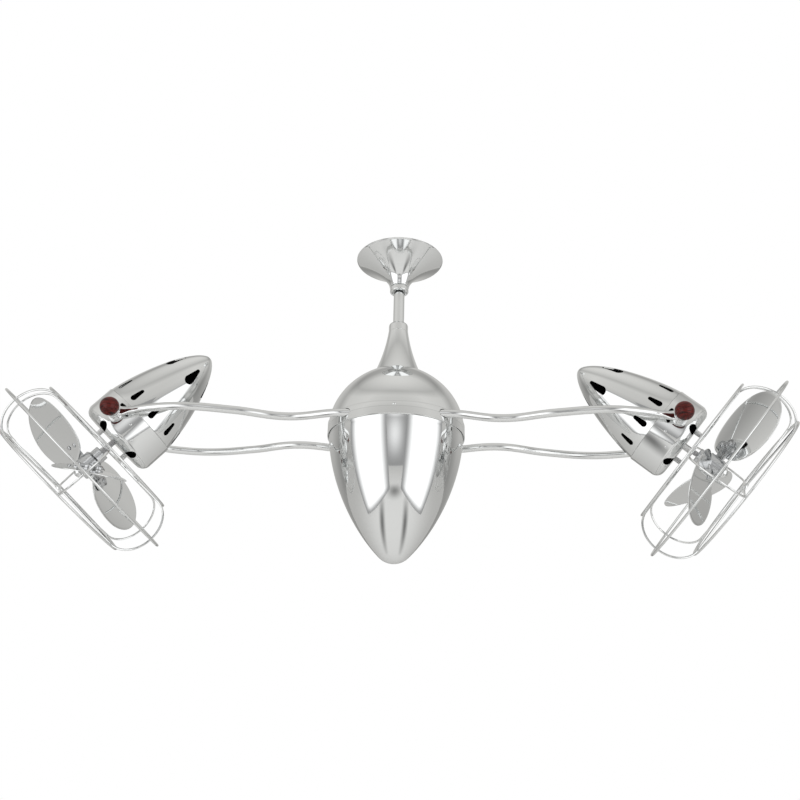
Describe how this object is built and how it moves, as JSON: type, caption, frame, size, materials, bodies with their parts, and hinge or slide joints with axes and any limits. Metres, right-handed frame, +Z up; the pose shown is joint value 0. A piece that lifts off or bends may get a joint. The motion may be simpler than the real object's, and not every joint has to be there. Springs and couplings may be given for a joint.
{
  "type": "twin head ceiling fan",
  "caption": "Ceiling fan with a turning body on a short down rod and a tilting guarded fan head at each end of paired S-bent arms.",
  "frame": {"origin": "middle of the bracket on the ceiling face", "axes": "+Z up into the ceiling, +X along the arms to the right head as pictured, +Y away from the viewer"},
  "size_m": [1.236, 0.3338, 0.5296],
  "materials": {
    "chrome": "polished chrome plate",
    "steel": "plain machined steel",
    "brass": "turned brass",
    "winding": "lacquered copper windings on a laminated core",
    "wood": "dark red-brown polished wood",
    "plastic": "dark moulded plastic"
  },
  "bodies": {
    "mount": {"ceiling_bracket": "steel", "hanger_pin": "steel", "down_rod": "chrome", "canopy": "chrome", "canopy_collar": "chrome", "slip_ring": "brass", "thrust_washer": "steel", "rod_nut": "steel"},
    "carousel": {"neck_collar": "chrome", "upper_shell": "chrome", "lower_shell": "chrome", "hub_frame": "steel", "upper_bearing": "steel", "lower_bearing": "steel", "brush_block": "plastic", "left_arm_near": "chrome", "left_arm_far": "chrome", "right_arm_near": "chrome", "right_arm_far": "chrome"},
    "left_head": {"left_casing": "chrome", "left_rear_housing": "chrome", "left_end_plate": "steel", "left_stator": "winding", "left_front_bearing": "steel", "left_rear_bearing": "steel", "left_guard_rear": "chrome", "left_guard_front": "chrome"},
    "right_head": {"right_casing": "chrome", "right_rear_housing": "chrome", "right_end_plate": "steel", "right_stator": "winding", "right_front_bearing": "steel", "right_rear_bearing": "steel", "right_guard_rear": "chrome", "right_guard_front": "chrome"},
    "left_rotor": {"left_rotor_shaft": "steel", "left_blade_hub": "chrome", "left_hub_cap": "chrome", "left_blade_1": "chrome", "left_blade_2": "chrome", "left_blade_3": "chrome"},
    "right_rotor": {"right_rotor_shaft": "steel", "right_blade_hub": "chrome", "right_hub_cap": "chrome", "right_blade_1": "chrome", "right_blade_2": "chrome", "right_blade_3": "chrome"},
    "left_knob_near": {"left_knob_bolt_near": "chrome", "left_knob_ball_near": "wood"},
    "left_knob_far": {"left_knob_bolt_far": "chrome", "left_knob_ball_far": "wood"},
    "right_knob_near": {"right_knob_bolt_near": "chrome", "right_knob_ball_near": "wood"},
    "right_knob_far": {"right_knob_bolt_far": "chrome", "right_knob_ball_far": "wood"}
  },
  "joints": [
    {"name": "carousel_spin", "type": "hinge", "parent": "mount", "child": "carousel", "pos_m": [0, 0, -0.313], "axis": [0, 0, 1], "continuous": true},
    {"name": "left_tilt", "type": "hinge", "parent": "carousel", "child": "left_head", "pos_m": [-0.4237, 0, -0.313], "axis": [0, 1, 0], "range_deg": [-42.8, 137.2]},
    {"name": "right_tilt", "type": "hinge", "parent": "carousel", "child": "right_head", "pos_m": [0.4237, 0, -0.313], "axis": [0, -1, 0], "range_deg": [-50.5, 129.5]},
    {"name": "left_fan_spin", "type": "hinge", "parent": "left_head", "child": "left_rotor", "pos_m": [-0.4237, 0, -0.313], "axis": [-0.6794, 0, -0.7337], "continuous": true},
    {"name": "right_fan_spin", "type": "hinge", "parent": "right_head", "child": "right_rotor", "pos_m": [0.4237, 0, -0.313], "axis": [0.7716, 0, -0.6361], "continuous": true},
    {"name": "left_knob_near_turn", "type": "hinge", "parent": "left_head", "child": "left_knob_near", "pos_m": [-0.4237, 0, -0.313], "axis": [0, -1, 0], "range_deg": [0, 360]},
    {"name": "left_knob_far_turn", "type": "hinge", "parent": "left_head", "child": "left_knob_far", "pos_m": [-0.4237, 0, -0.313], "axis": [0, 1, 0], "range_deg": [0, 360]},
    {"name": "right_knob_near_turn", "type": "hinge", "parent": "right_head", "child": "right_knob_near", "pos_m": [0.4237, 0, -0.313], "axis": [0, -1, 0], "range_deg": [0, 360]},
    {"name": "right_knob_far_turn", "type": "hinge", "parent": "right_head", "child": "right_knob_far", "pos_m": [0.4237, 0, -0.313], "axis": [0, 1, 0], "range_deg": [0, 360]}
  ]
}
